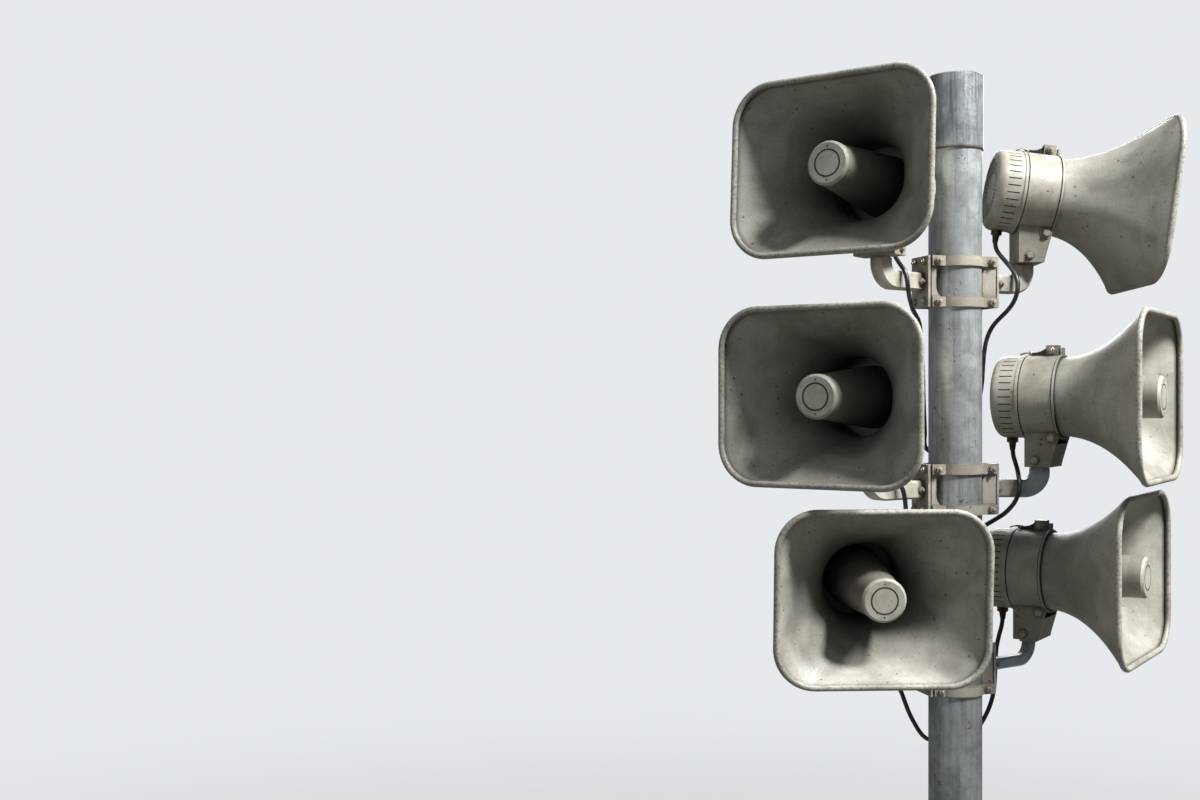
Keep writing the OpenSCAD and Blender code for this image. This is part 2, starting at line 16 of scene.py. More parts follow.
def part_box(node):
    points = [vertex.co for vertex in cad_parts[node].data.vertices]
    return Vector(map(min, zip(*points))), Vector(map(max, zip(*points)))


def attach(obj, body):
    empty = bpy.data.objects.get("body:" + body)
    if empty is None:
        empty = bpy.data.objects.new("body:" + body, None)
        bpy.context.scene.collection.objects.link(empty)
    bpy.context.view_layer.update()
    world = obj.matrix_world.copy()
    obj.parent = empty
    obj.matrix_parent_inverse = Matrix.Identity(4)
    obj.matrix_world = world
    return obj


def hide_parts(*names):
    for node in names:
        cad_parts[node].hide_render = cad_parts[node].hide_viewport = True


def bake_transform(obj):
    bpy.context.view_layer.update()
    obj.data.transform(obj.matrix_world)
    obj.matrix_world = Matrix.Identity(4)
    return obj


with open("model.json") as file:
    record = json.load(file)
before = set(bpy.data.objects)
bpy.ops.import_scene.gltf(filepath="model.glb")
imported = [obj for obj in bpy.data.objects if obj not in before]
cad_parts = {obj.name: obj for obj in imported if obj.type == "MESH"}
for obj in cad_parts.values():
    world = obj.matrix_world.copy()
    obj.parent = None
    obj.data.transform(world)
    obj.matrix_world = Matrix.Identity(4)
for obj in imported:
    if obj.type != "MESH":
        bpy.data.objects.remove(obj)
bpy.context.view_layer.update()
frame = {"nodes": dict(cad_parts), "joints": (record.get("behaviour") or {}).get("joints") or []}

MM = 0.001
MAST_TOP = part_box("mast_cap")[1].z
ROOT = "mast_assembly"

# Sizes of the CAD model, in millimetres
PIN_SETBACK = 315
FLARE_LEN = 250
MOUTH_W = 540
MOUTH_H = 446
MOUTH_CORNER_R = 106
FLARE_POWER_W = 1.75
FLARE_POWER_H = 1.9
BELL_WALL = 3
BEAD_R = 8
NECK_LEN = 12
BAND_R = 111
BAND_LEN = 91
BAND_WALL = 6
COVER_LEN = 80
COVER_ROUND = 20
BRACKET_W = 116
BRACKET_DROP = 186
ARM_DROP = 245
BAR_W = 40
LOW_BAR_W = 30
CLAMP_H = 135
STRAP_H = 27
STRAP_T = 6
CLAMP_REACH = 95
LOW_CLAMP_REACH = 86
CLAMP_T = 6
FOOT_GAP = 3
PAD_Y = 25
PAD_Z = 52
POLE_R = 70
SEAT_GAP = 0.3
LEAD_D = 12
PIVOT_Z = -108
GLAND_DROP = 16
COVER_SLOTS = 36
SLOT_W = 3
SLOT_DEEP = 3
SLOT_LEN = 33
SLOT_SETBACK = 21
RIM_W = 8
RIM_OUT = 2
GROOVE = 3
LIP_LEN = 5

BAND_X = PIN_SETBACK - FLARE_LEN
COVER_X = BAND_X - BAND_LEN
REAR_X = COVER_X - COVER_LEN
COVER_R = BAND_R - 1
PIVOT_X = BAND_X - 18
GLAND_X = REAR_X + 34
THROAT_R = BAND_R - BAND_WALL - SEAT_GAP - BELL_WALL / 2
STRAP_OUT = POLE_R + SEAT_GAP + STRAP_T
EAR_REAR = BAND_X - 44
EAR_FRONT = BAND_X - 12
EAR_TOP = BAND_R + 27
EAR_W = 28
PLUG_R = 31
DISC_R = COVER_R - COVER_ROUND - 6
EAR_Y = STRAP_OUT * math.cos(math.radians(50)) - STRAP_T / 2

# Sizes of the finer shapes, in millimetres
LEAD_SIDES = 14
LEAD_PARTS = 4
GROOVE_DEEP = 4
BEVEL = 0.6
GLAND_SUNK = 4
LATCH_HALF_W = 8.5
LATCH_RIBS = 9
LATCH_UP = 7
BAIL_R = 1.8
BAIL_UP = 6
MARK_REACH = 10
EAR_BOLT_UP = 14
STRAP_BOLT_INSET = 16
BAR_BOLT_REACH = 20
# Bolts: size across the flats, height of the head, radius and thickness of the washer,
# and length of the thread end
EAR_BOLT = (16, 8, 12, 2.5, 0)
EAR_NUT = (16, 8, 12, 2.5, 6)
STRAP_BOLT = (16, 8, 12, 2.5, 6)
FOOT_BOLT = (14, 6, 10.5, 2, 3)
BAR_BOLT = (14, 6, 10, 2, 4)
# Bolts of a bracket's cheek: x and z, size across the flats, radius and thickness of the boss
CHEEK_BOLTS = ((PIVOT_X, PIVOT_Z, 17, 17, 2.5), (4, -168, 15, 13, 1.5))

# Heading and tilt of each horn, in degrees
AIMS = {
    "top_left": (-126, 3),
    "top_right": (-4, -8),
    "middle_left": (-125, 0),
    "middle_right": (-33, 0),
    "bottom_left": (-87, -4),
    "bottom_right": (-35, 0),
}
# How far the blue-grey paint of an arm reaches from its post, in metres
BLUE_REACH = {"middle_right": 0.058, "bottom_right": 1.0}
# Turn of each clamp about the mast in degrees, its horns' drop below the top, and its reach
CLAMPS = {
    "top": (15, 307, CLAMP_REACH),
    "middle": (15, 857, CLAMP_REACH),
    "bottom": (14, 1333, LOW_CLAMP_REACH),
}

# Middle line of each lead in millimetres, with heights counted from the mast's top
LEADS = {
    "top_left": [
        (-181, -61, -440), (-181, -62, -454), (-180, -67, -472), (-176, -78, -490),
        (-169, -93, -508), (-160, -108, -528), (-155, -115, -550), (-152, -115, -573),
        (-147, -107, -595), (-139, -92, -613), (-129, -71, -628), (-117, -46, -638),
        (-105, -21, -648), (-95, 3, -661), (-87, 25, -680), (-81, 41, -706),
        (-77, 51, -738), (-74, 56, -776), (-72, 59, -818), (-70, 63, -858),
        (-67, 70, -896), (-63, 80, -930), (-59, 93, -957), (-57, 107, -977),
        (-52, 120, -992), (-43, 130, -1003), (-30, 135, -1009), (-17, 133, -1010),
        (-7, 125, -1010), (-1, 113, -1010), (0, 100, -1010), (0, 86, -1010),
    ],
    "top_right": [
        (135, 89, -417), (133, 89, -431), (134, 85, -449), (141, 75, -467),
        (152, 60, -487), (163, 43, -508), (171, 27, -531), (173, 18, -555),
        (170, 16, -579), (162, 20, -602), (150, 29, -622), (135, 41, -640),
        (121, 50, -657), (110, 58, -677), (102, 64, -702), (97, 68, -735),
        (94, 70, -776), (92, 72, -816), (88, 77, -852), (82, 85, -882),
        (74, 94, -906), (66, 103, -926), (58, 112, -942), (49, 122, -953),
        (38, 130, -959), (25, 133, -960), (13, 129, -960), (4, 120, -960),
        (0, 109, -960), (0, 98, -960), (0, 86, -960),
    ],
    "middle_left": [
        (-215, -77, -984), (-215, -78, -998), (-211, -85, -1017), (-202, -97, -1037),
        (-189, -109, -1057), (-175, -118, -1079), (-165, -119, -1102), (-159, -112, -1125),
        (-154, -98, -1147), (-148, -79, -1166), (-141, -56, -1182), (-133, -28, -1196),
        (-123, -2, -1208), (-112, 23, -1219), (-99, 47, -1230), (-86, 69, -1241),
        (-74, 88, -1254), (-64, 105, -1268), (-55, 119, -1281), (-44, 129, -1291),
        (-31, 134, -1297), (-18, 132, -1300), (-7, 125, -1300), (-1, 114, -1300),
        (0, 100, -1300), (0, 86, -1300),
    ],
    "middle_right": [
        (169, 51, -984), (169, 50, -998), (169, 43, -1016), (170, 29, -1034),
        (170, 11, -1052), (168, -7, -1071), (166, -19, -1092), (162, -23, -1115),
        (154, -18, -1137), (143, -7, -1156), (131, 8, -1172), (117, 27, -1186),
        (103, 45, -1199), (91, 63, -1211), (81, 80, -1222), (72, 96, -1232),
        (63, 110, -1240), (52, 122, -1246), (39, 130, -1249), (26, 132, -1250),
        (13, 128, -1250), (4, 119, -1250), (0, 108, -1250), (0, 97, -1250),
        (0, 86, -1250),
    ],
    "bottom_left": [
        (-282, 42, -1451), (-282, 43, -1466), (-279, 46, -1487), (-271, 50, -1510),
        (-258, 54, -1533), (-241, 58, -1553), (-221, 62, -1571), (-199, 66, -1587),
        (-178, 70, -1603), (-158, 74, -1620), (-141, 78, -1640), (-127, 82, -1663),
        (-117, 86, -1688), (-107, 91, -1713), (-96, 97, -1736), (-84, 103, -1757),
        (-72, 110, -1776), (-60, 118, -1791), (-47, 126, -1802), (-33, 132, -1808),
        (-19, 131, -1810), (-8, 123, -1810), (-1, 112, -1810), (0, 99, -1810),
        (0, 86, -1810),
    ],
    "bottom_right": [
        (174, 160, -1460), (174, 160, -1474), (171, 158, -1494), (164, 154, -1515),
        (157, 149, -1537), (151, 143, -1561), (148, 137, -1587), (145, 131, -1613),
        (142, 125, -1639), (138, 119, -1665), (131, 114, -1691), (121, 110, -1716),
        (109, 108, -1740), (96, 109, -1763), (83, 112, -1785), (70, 118, -1805),
        (56, 124, -1822), (41, 130, -1834), (26, 132, -1841), (13, 128, -1842),
        (4, 119, -1842), (0, 108, -1842), (0, 97, -1842), (0, 86, -1842),
    ],
}

CAMERA_PLACE = (-0.951, -3.674, 4.135)
CAMERA_LENS = 41.16
AIM_POINT = (0, 0, 4.1)
BACKGROUND = (0.80, 0.82, 0.84, 1)


def make_camera():
    """Camera of the photograph: level, looking along +Y."""
    data = bpy.data.cameras.new("photo_camera")
    data.lens = CAMERA_LENS
    data.clip_end = 100
    camera = bpy.data.objects.new("photo_camera", data)
    camera.location = CAMERA_PLACE
    camera.rotation_euler = (math.radians(90), 0, 0)
    bpy.context.scene.collection.objects.link(camera)
    bpy.context.scene.camera = camera


make_camera()


# Node trees

def tone(red, green, blue):
    """A linear colour from the 0 to 255 numbers of a screen colour."""
    def linear(c):
        c = c / 255
        return c / 12.92 if c <= 0.04045 else ((c + 0.055) / 1.055) ** 2.4
    return (linear(red), linear(green), linear(blue), 1.0)


class Finish:
    """A material under construction, with short calls for the nodes it uses."""

    def __init__(self, name):
        self.material = bpy.data.materials.new(name)
        self.material.use_nodes = True
        self.tree = self.material.node_tree
        self.shader = self.tree.nodes["Principled BSDF"]
        self.place = self.node("ShaderNodeTexCoord").outputs["Object"]

    def node(self, kind, **settings):
        """A new node with the given properties."""
        made = self.tree.nodes.new(kind)
        for key, value in settings.items():
            setattr(made, key, value)
        return made

    def link(self, source, target):
        """Feed an input from another node's output or with a plain value."""
        if isinstance(source, bpy.types.NodeSocket):
            self.tree.links.new(source, target)
        else:
            target.default_value = source

    def stretched(self, scale):
        """The object's coordinates, scaled along each axis."""
        mapping = self.node("ShaderNodeMapping")
        mapping.inputs["Scale"].default_value = scale
        self.link(self.place, mapping.inputs["Vector"])
        return mapping.outputs["Vector"]

    def noise(self, scale, detail=4, rough=0.5, distortion=0.0, place=None):
        """Cloudy values about 0.5, of a scale in cells a metre."""
        made = self.node("ShaderNodeTexNoise")
        made.inputs["Scale"].default_value = scale
        made.inputs["Detail"].default_value = detail
        made.inputs["Roughness"].default_value = rough
        made.inputs["Distortion"].default_value = distortion
        self.link(place or self.place, made.inputs["Vector"])
        return made.outputs["Fac"]

    def cells(self, scale, place=None):
        """Random colour of the cell round each point, and the distance to the cell's middle."""
        made = self.node("ShaderNodeTexVoronoi")
        made.inputs["Scale"].default_value = scale
        self.link(place or self.place, made.inputs["Vector"])
        return made.outputs["Color"], made.outputs["Distance"]

    def dots(self, scale, share, small=0.05, more=0.12, squeeze=(1, 1, 1)):
        """Small ragged dots, scattered evenly: 1 on a dot and 0 off it."""
        base = self.stretched(squeeze)
        place = self.node("ShaderNodeVectorMath", operation="MULTIPLY_ADD")
        wobble = self.node("ShaderNodeTexNoise")
        wobble.inputs["Scale"].default_value = scale * 5
        self.link(self.place, wobble.inputs["Vector"])
        self.link(wobble.outputs["Color"], place.inputs[0])
        place.inputs[1].default_value = (0.006, 0.006, 0.006)
        self.link(base, place.inputs[2])
        pick, distance = self.cells(scale, place.outputs[0])
        split = self.node("ShaderNodeSeparateColor")
        self.link(pick, split.inputs[0])
        chosen = self.math("LESS_THAN", split.outputs[0], share)
        size = self.math("MULTIPLY_ADD", split.outputs[1], more)
        size.node.inputs[2].default_value = small
        near = self.math("LESS_THAN", distance, size)
        return self.math("MULTIPLY", chosen, near)

    def span(self, value, low, high, to_low=0.0, to_high=1.0):
        """Smooth step from to_low, where the value is low, to to_high, where it is high."""
        made = self.node("ShaderNodeMapRange", interpolation_type="SMOOTHSTEP")
        self.link(value, made.inputs["Value"])
        made.inputs["From Min"].default_value = low
        made.inputs["From Max"].default_value = high
        made.inputs["To Min"].default_value = to_low
        made.inputs["To Max"].default_value = to_high
        return made.outputs["Result"]

    def math(self, operation, first, second=0.0):
        """Result of a sum, product or comparison of two values."""
        made = self.node("ShaderNodeMath", operation=operation)
        self.link(first, made.inputs[0])
        self.link(second, made.inputs[1])
        return made.outputs[0]

    def mix(self, share, first, second):
        """Colour that goes from the first to the second as share goes from 0 to 1."""
        made = self.node("ShaderNodeMix", data_type="RGBA")
        # Of this node's inputs, 6 and 7 are its two colours, and output 2 is the mixed one
        self.link(share, made.inputs[0])
        self.link(first, made.inputs[6])
        self.link(second, made.inputs[7])
        return made.outputs[2]

    def attribute(self, name):
        """Values that the mesh holds under a name."""
        return self.node("ShaderNodeAttribute", attribute_name=name).outputs["Fac"]

    def height(self):
        """Height above the mast's foot, in metres."""
        split = self.node("ShaderNodeSeparateXYZ")
        self.link(self.place, split.inputs[0])
        return split.outputs["Z"]

    def faces_up(self):
        """1 on a face that looks up and -1 on one that looks down."""
        split = self.node("ShaderNodeSeparateXYZ")
        self.link(self.node("ShaderNodeNewGeometry").outputs["Normal"], split.inputs[0])
        return split.outputs["Z"]

    def crease(self, reach):
        """1 in the open and 0 deep in a corner."""
        made = self.node("ShaderNodeAmbientOcclusion", samples=6)
        made.inputs["Distance"].default_value = reach
        return made.outputs["AO"]

    def edge(self, reach):
        """1 along the sharp edges of a shape and 0 on its faces."""
        rounded = self.node("ShaderNodeBevel", samples=6)
        rounded.inputs["Radius"].default_value = reach
        product = self.node("ShaderNodeVectorMath", operation="DOT_PRODUCT")
        self.link(rounded.outputs["Normal"], product.inputs[0])
        self.link(self.node("ShaderNodeNewGeometry").outputs["Normal"], product.inputs[1])
        return self.span(product.outputs["Value"], 0.8, 0.98, 1.0, 0.0)

    def bump(self, value, strength, depth):
        """Fine relief, with its depth in metres."""
        made = self.node("ShaderNodeBump")
        made.inputs["Strength"].default_value = strength
        made.inputs["Distance"].default_value = depth
        self.link(value, made.inputs["Height"])
        self.link(made.outputs["Normal"], self.shader.inputs["Normal"])

    def done(self, colour, roughness, metallic=0.0):
        """Connect the shader and hand over the material."""
        self.link(colour, self.shader.inputs["Base Color"])
        self.link(roughness, self.shader.inputs["Roughness"])
        self.link(metallic, self.shader.inputs["Metallic"])
        return self.material


RUST_DARK = tone(70, 48, 32)
RUST_BRIGHT = tone(124, 93, 62)
# Grime, and also the painted shade in corners and just inside the flare's bead
GRIME_AND_SHADE = tone(52, 49, 43)
# Tone of the painted shade on faces that look down
UNDERSIDE_SHADE = tone(92, 86, 70)


def rust_colour(f):
    """Mottled rust."""
    return f.mix(f.noise(420, 5, 0.7), RUST_DARK, RUST_BRIGHT)


def weathered_paint(name, pale, worn, rust=0.10, corner_grime_and_shade=0.5, rim=False, deep=0.0, worn_edge=0.0):
    """Old paint with cloudy fading, run-off streaks, specks, chips and rust spots.

    rust is the share of rust spots, dirt the painted shade, with grime, in corners, deep the
    painted shade in wide hollows and worn_edge the rust along sharp edges. rim wears the
    flare's bead bare and adds a line of painted shade just inside it.
    """
    f = Finish(name)
    cloud = f.span(f.noise(9, 6, 0.6, 0.4), 0.35, 0.68)
    colour = f.mix(cloud, pale, worn)
    streak = f.noise(3, 5, 0.6, 0.2, f.stretched((26, 26, 1.6)))
    colour = f.mix(f.span(streak, 0.5, 0.74, 0, 0.35), colour, worn)
    fine = f.noise(210, 6, 0.7)
    colour = f.mix(f.span(fine, 0.3, 0.75, 0.0, 0.22), colour, GRIME_AND_SHADE)
    speck = f.dots(45, 0.8, 0.05, 0.09, (1, 1, 0.8))
    colour = f.mix(f.math("MULTIPLY", speck, 0.7), colour, GRIME_AND_SHADE)
    smear = f.noise(5, 5, 0.6, 0.3, f.stretched((3, 3, 30)))
    colour = f.mix(f.span(smear, 0.5, 0.7, 0.0, 0.3), colour, tone(146, 134, 108))
    # Painted shade: faces that look down turn darker and browner
    colour = f.mix(f.span(f.faces_up(), -0.9, 0.05, 0.42, 0.0), colour, UNDERSIDE_SHADE)
    scratch = f.noise(34, 2, 0.5, 2.5, f.stretched((1, 1, 5)))
    colour = f.mix(f.span(scratch, 0.715, 0.735, 0, 0.5), colour, GRIME_AND_SHADE)
    spots = f.dots(46, rust)
    if rim:
        bare = f.math("MULTIPLY", f.attribute("rim"), f.span(f.noise(150, 5, 0.65), 0.5, 0.6))
        colour = f.mix(f.math("MULTIPLY", bare, 0.7), colour, tone(104, 97, 84))
        # Painted shade: a dark line just inside the bead, under its roll
        colour = f.mix(f.math("MULTIPLY", f.attribute("line"), 0.7), colour, GRIME_AND_SHADE)
    # Painted shade, with grime: corners found by occlusion turn dark
    corner = f.span(f.crease(0.03), 0.35, 0.95, corner_grime_and_shade, 0.0)
    colour = f.mix(corner, colour, GRIME_AND_SHADE)
    # Painted shade: wide hollows found by occlusion, such as the insides of the flares, turn dark
    if deep:
        hollow = f.span(f.crease(0.35), 0.1, 0.75, deep, 0.0)
        colour = f.mix(hollow, colour, tone(56, 55, 50))
    if worn_edge:
        patch = f.span(f.noise(48, 5, 0.6), 0.35, 0.6, 0.15, worn_edge)
        colour = f.mix(f.math("MULTIPLY", f.edge(0.007), patch), colour, rust_colour(f))
    colour = f.mix(f.math("MULTIPLY", spots, 0.85), colour, rust_colour(f))
    f.bump(f.math("ADD", fine, f.math("MULTIPLY", spots, -0.8)), 0.25, 0.0006)
    return f.done(colour, f.span(fine, 0.3, 0.7, 0.38, 0.6))


def galvanised(name):
    """Zinc coating with spangle, clouds, run-off streaks and a few rusty dots."""
    f = Finish(name)
    cloud = f.span(f.noise(14, 6, 0.62, 0.5), 0.34, 0.68)
    colour = f.mix(cloud, tone(188, 193, 194), tone(144, 149, 150))
    streak = f.noise(4, 5, 0.65, 0.1, f.stretched((30, 30, 1.0)))
    colour = f.mix(f.span(streak, 0.46, 0.72, 0, 0.55), colour, tone(100, 104, 105))
    split = f.node("ShaderNodeSeparateColor")
    f.link(f.cells(95)[0], split.inputs[0])
    colour = f.mix(f.math("MULTIPLY", split.outputs[0], 0.16), colour, tone(206, 210, 211))
    fine = f.noise(260, 5, 0.7)
    colour = f.mix(f.span(fine, 0.35, 0.75, 0, 0.25), colour, tone(80, 84, 86))
    dots = f.span(f.math("MULTIPLY", f.noise(20, 2), f.noise(120, 3)), 0.40, 0.43)
    colour = f.mix(f.math("MULTIPLY", dots, 0.8), colour, rust_colour(f))
    colour = f.mix(f.math("MULTIPLY", f.dots(21, 0.10), 0.8), colour, rust_colour(f))
    f.bump(f.math("ADD", fine, cloud), 0.2, 0.0005)
    return f.done(colour, f.span(fine, 0.3, 0.7, 0.28, 0.45), 0.6)


def sleeve_steel(name):
    """Darker zinc sleeve with a rusty line along its lower edge."""
    f = Finish(name)
    cloud = f.span(f.noise(16, 6, 0.65, 0.6), 0.32, 0.7)
    colour = f.mix(cloud, tone(164, 170, 173), tone(116, 121, 124))
    streak = f.noise(4, 5, 0.65, 0.1, f.stretched((34, 34, 1.3)))
    colour = f.mix(f.span(streak, 0.45, 0.7, 0, 0.6), colour, tone(84, 74, 62))
    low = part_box("mast_cap")[0].z
    seam = f.math("SUBTRACT", f.height(), f.math("MULTIPLY", f.noise(60, 4), 0.006))
    rusty = f.span(seam, low - 0.002, low + 0.006, 0.9, 0.0)
    colour = f.mix(rusty, colour, tone(74, 54, 40))
    fine = f.noise(240, 5, 0.7)
    f.bump(f.math("ADD", fine, cloud), 0.25, 0.0005)
    return f.done(colour, f.span(fine, 0.3, 0.7, 0.28, 0.46), 0.6)


def arm_paint(name, post, blue_reach):
    """Beige bar with painted shade in its corners, blue-grey within a reach of its post, in metres.
    """
    f = Finish(name)
    cloud = f.span(f.noise(18, 6, 0.6, 0.4), 0.35, 0.68)
    colour = f.mix(cloud, tone(178, 175, 164), tone(140, 136, 124))
    if blue_reach:
        away = f.node("ShaderNodeVectorMath", operation="DISTANCE")
        f.link(f.stretched((1, 1, 0)), away.inputs[0])
        away.inputs[1].default_value = (post[0], post[1], 0)
        elbow = f.span(away.outputs["Value"], blue_reach, blue_reach + 0.002, 1.0, 0.0)
        blue = f.mix(cloud, tone(168, 178, 184), tone(138, 149, 156))
        colour = f.mix(elbow, colour, blue)
    fine = f.noise(230, 6, 0.7)
    colour = f.mix(f.span(fine, 0.3, 0.75, 0.0, 0.25), colour, GRIME_AND_SHADE)
    # Painted shade: corners found by occlusion turn dark brown
    corner = f.span(f.crease(0.025), 0.3, 0.95, 0.7, 0.0)
    colour = f.mix(corner, colour, tone(80, 64, 48))
    f.bump(fine, 0.2, 0.0005)
    return f.done(colour, f.span(fine, 0.3, 0.7, 0.4, 0.58))


def rusty_steel(name, least, most):
    """Bolt heads and washers: dull zinc under patchy rust, from the least to the most of it."""
    f = Finish(name)
    patch = f.span(f.noise(75, 5, 0.65), 0.42, 0.66, least, most)
    rust = f.mix(f.noise(300, 4), RUST_DARK, tone(112, 88, 62))
    colour = f.mix(patch, tone(168, 164, 152), rust)
    corner = f.span(f.crease(0.006), 0.3, 0.9, 0.7, 0.0)
    colour = f.mix(corner, colour, RUST_DARK)
    fine = f.noise(600, 5, 0.7)
    f.bump(fine, 0.35, 0.0004)
    return f.done(colour, f.span(patch, 0.0, 1.0, 0.4, 0.8), f.span(patch, 0.0, 1.0, 0.5, 0.0))


def brass(name):
    """Dull brown brass."""
    f = Finish(name)
    dull = f.span(f.noise(90, 5, 0.6), 0.4, 0.65)
    colour = f.mix(dull, tone(96, 86, 66), tone(52, 47, 38))
    f.bump(f.noise(500, 4), 0.15, 0.0002)
    return f.done(colour, f.span(dull, 0, 1, 0.3, 0.55), 0.8)


def black_sheath(name):
    """Black lead with a little dust and fine grain."""
    f = Finish(name)
    dust = f.span(f.noise(60, 5, 0.6), 0.45, 0.75)
    colour = f.mix(dust, tone(24, 25, 28), tone(58, 58, 58))
    f.bump(f.noise(700, 4), 0.2, 0.0002)
    return f.done(colour, f.span(dust, 0, 1, 0.36, 0.6))


def painted_gap_shade(name):
    """Painted shade for the inside of slots, grooves and gaps: near-black with a little dust."""
    f = Finish(name)
    colour = f.mix(f.noise(160, 4), tone(22, 21, 20), tone(48, 44, 39))
    f.bump(f.noise(300, 4), 0.3, 0.0004)
    return f.done(colour, 0.85)


COVER_PALE = tone(174, 171, 160)
COVER_WORN = tone(140, 137, 125)
flare_paint = weathered_paint("flare_paint", tone(172, 170, 160), tone(138, 136, 126),
                              rim=True, deep=0.75)
driver_paint = weathered_paint("driver_paint", COVER_PALE, COVER_WORN, rust=0.12)
band_paint = weathered_paint("band_paint", COVER_PALE, COVER_WORN, rust=0.12, deep=0.8)
nozzle_paint = weathered_paint("nozzle_paint", tone(172, 169, 157), tone(138, 135, 123),
                               rust=0.05, deep=0.7)
clamp_paint = weathered_paint("clamp_paint", tone(164, 160, 150), tone(130, 126, 114),
                              rust=0.25, corner_grime_and_shade=0.7, worn_edge=0.95)
strap_paint = weathered_paint("strap_paint", tone(166, 162, 149), tone(136, 131, 118),
                              rust=0.3, corner_grime_and_shade=0.6, worn_edge=0.6)
bracket_paint = weathered_paint("bracket_paint", tone(150, 147, 136), tone(118, 115, 105),
                                rust=0.2, corner_grime_and_shade=0.7, worn_edge=0.4)
zinc = galvanised("galvanised_steel")
sleeve = sleeve_steel("sleeve_steel")
bolt_steel = rusty_steel("bolt_steel", 0.0, 0.62)
rust_ring = rusty_steel("rust_ring", 0.85, 1.0)
gland_brass = brass("gland_brass")
sheath = black_sheath("black_sheath")
gap_shade = painted_gap_shade("painted_gap_shade")


# Shapes

class Shape:
    """Points and faces gathered from several forms, in millimetres."""

    def __init__(self):
        self.points = []
        self.faces = []
        self.paints = []

    def add(self, points, faces, place=None, paint=0):
        """Take in a form, moved by a matrix, with the number of its material."""
        start = len(self.points)
        for p in points:
            v = Vector(p)
            self.points.append(place @ v if place else v)
        for face in faces:
            self.faces.append([start + i for i in face])
            self.paints.append(paint)

    def piece(self, name, materials, body, place=None, smooth_angle=35):
        """Make the Blender object. It rides on a body, or on none."""
        mesh = bpy.data.meshes.new(name)
        points = [(place @ p if place else p) * MM for p in self.points]
        mesh.from_pydata(points, [], self.faces)
        for m in materials:
            mesh.materials.append(m)
        mesh.polygons.foreach_set("material_index", self.paints)
        mesh.polygons.foreach_set("use_smooth", [True] * len(self.faces))
        mesh.update()
        mesh.set_sharp_from_angle(angle=math.radians(smooth_angle))
        made = bpy.data.objects.new(name, mesh)
        bpy.context.scene.collection.objects.link(made)
        if body:
            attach(made, body)
        return made


def ring_faces(rows, columns, closed_rows=False):
    """Quads between neighbouring rows of points, each row a closed ring."""
    faces = []
    for i in range(rows if closed_rows else rows - 1):
        for k in range(columns):
            a = i * columns + k
            b = i * columns + (k + 1) % columns
            c = ((i + 1) % rows) * columns + (k + 1) % columns
            d = ((i + 1) % rows) * columns + k
            faces.append([a, b, c, d])
    return faces


def end_caps(rows, columns):
    """Faces that close the first and the last row."""
    return [list(range(columns))[::-1], [(rows - 1) * columns + k for k in range(columns)]]


def lathe(profile, steps):
    """Solid of revolution about x from points (x, radius), both ends capped."""
    points = [
        (x, r * math.cos(2 * math.pi * k / steps), r * math.sin(2 * math.pi * k / steps))
        for x, r in profile
        for k in range(steps)
    ]
    return points, ring_faces(len(profile), steps) + end_caps(len(profile), steps)


def hoop(profile, steps):
    """Solid ring about x from a closed outline of points (x, radius)."""
    return lathe(profile, steps)[0], ring_faces(len(profile), steps, closed_rows=True)


def hex_bolt(across, height, washer_r, washer_t, tail=0):
    """Bolt head on a washer, standing along +x from x 0, with a thread end if asked."""
    top = washer_t + height
    corner = across / 2 / math.cos(math.pi / 6)
    head = [(washer_t, corner), (washer_t + height * 0.82, corner), (top, corner * 0.86)]
    bolt = Shape()
    bolt.add(*lathe([(0, washer_r), (washer_t, washer_r), (washer_t, across * 0.3)], 20))
    bolt.add(*lathe(head, 6))
    if tail:
        thread = [(top, across * 0.27), (top + tail, across * 0.27), (top + tail + 1, across * 0.2)]
        bolt.add(*lathe(thread, 12))
    return bolt.points, bolt.faces


def turned(origin, axis, spin=0.0):
    """Matrix that puts +x along axis at origin, spun about it by some degrees."""
    facing = Vector(axis).to_track_quat("X", "Z").to_matrix().to_4x4()
    return Matrix.Translation(Vector(origin)) @ facing @ Matrix.Rotation(math.radians(spin), 4, "X")


def pin_place(name):
    """Place of the joint of a horn's swivel, in metres."""
    return next(j["pos_m"] for j in frame["joints"] if j["name"] == name + "_swivel")


def horn_places(name):
    """Matrices in millimetres from a horn's own frame: at its pin, and tilted with the horn."""
    x, y, z = (c / MM for c in pin_place(name))
    heading, tilt = (math.radians(a) for a in AIMS[name])
    at_pin = Matrix.Translation((x, y, z + BRACKET_DROP)) @ Matrix.Rotation(heading, 4, "Z")
    pivot = Vector((PIVOT_X, 0, PIVOT_Z))
    tilted = Matrix.Translation(pivot) @ Matrix.Rotation(-tilt, 4, "Y") @ Matrix.Translation(-pivot)
    return at_pin, at_pin @ tilted


# Leads

def smooth_line(points, parts):
    """Catmull-Rom curve through the points, with a number of parts between each two."""
    p = [Vector(q) for q in points]
    p = [2 * p[0] - p[1]] + p + [2 * p[-1] - p[-2]]
    line = []
    for i in range(1, len(p) - 2):
        for k in range(parts):
            t = k / parts
            line.append(0.5 * (2 * p[i] + (p[i + 1] - p[i - 1]) * t
                               + (2 * p[i - 1] - 5 * p[i] + 4 * p[i + 1] - p[i + 2]) * t * t
                               + (3 * p[i] - p[i - 1] - 3 * p[i + 1] + p[i + 2]) * t ** 3))
    line.append(p[-2])
    return line


def tube(line, radius, sides):
    """Round tube along a line of points, with both ends closed."""
    points = []
    across = Vector((1, 0, 0))
    for i, p in enumerate(line):
        course = (line[min(i + 1, len(line) - 1)] - line[max(i - 1, 0)]).normalized()
        across = (across - across.dot(course) * course).normalized()
        up = course.cross(across)
        for k in range(sides):
            a = 2 * math.pi * k / sides
            points.append(p + radius * (math.cos(a) * across + math.sin(a) * up))
    return points, ring_faces(len(line), sides) + end_caps(len(line), sides)


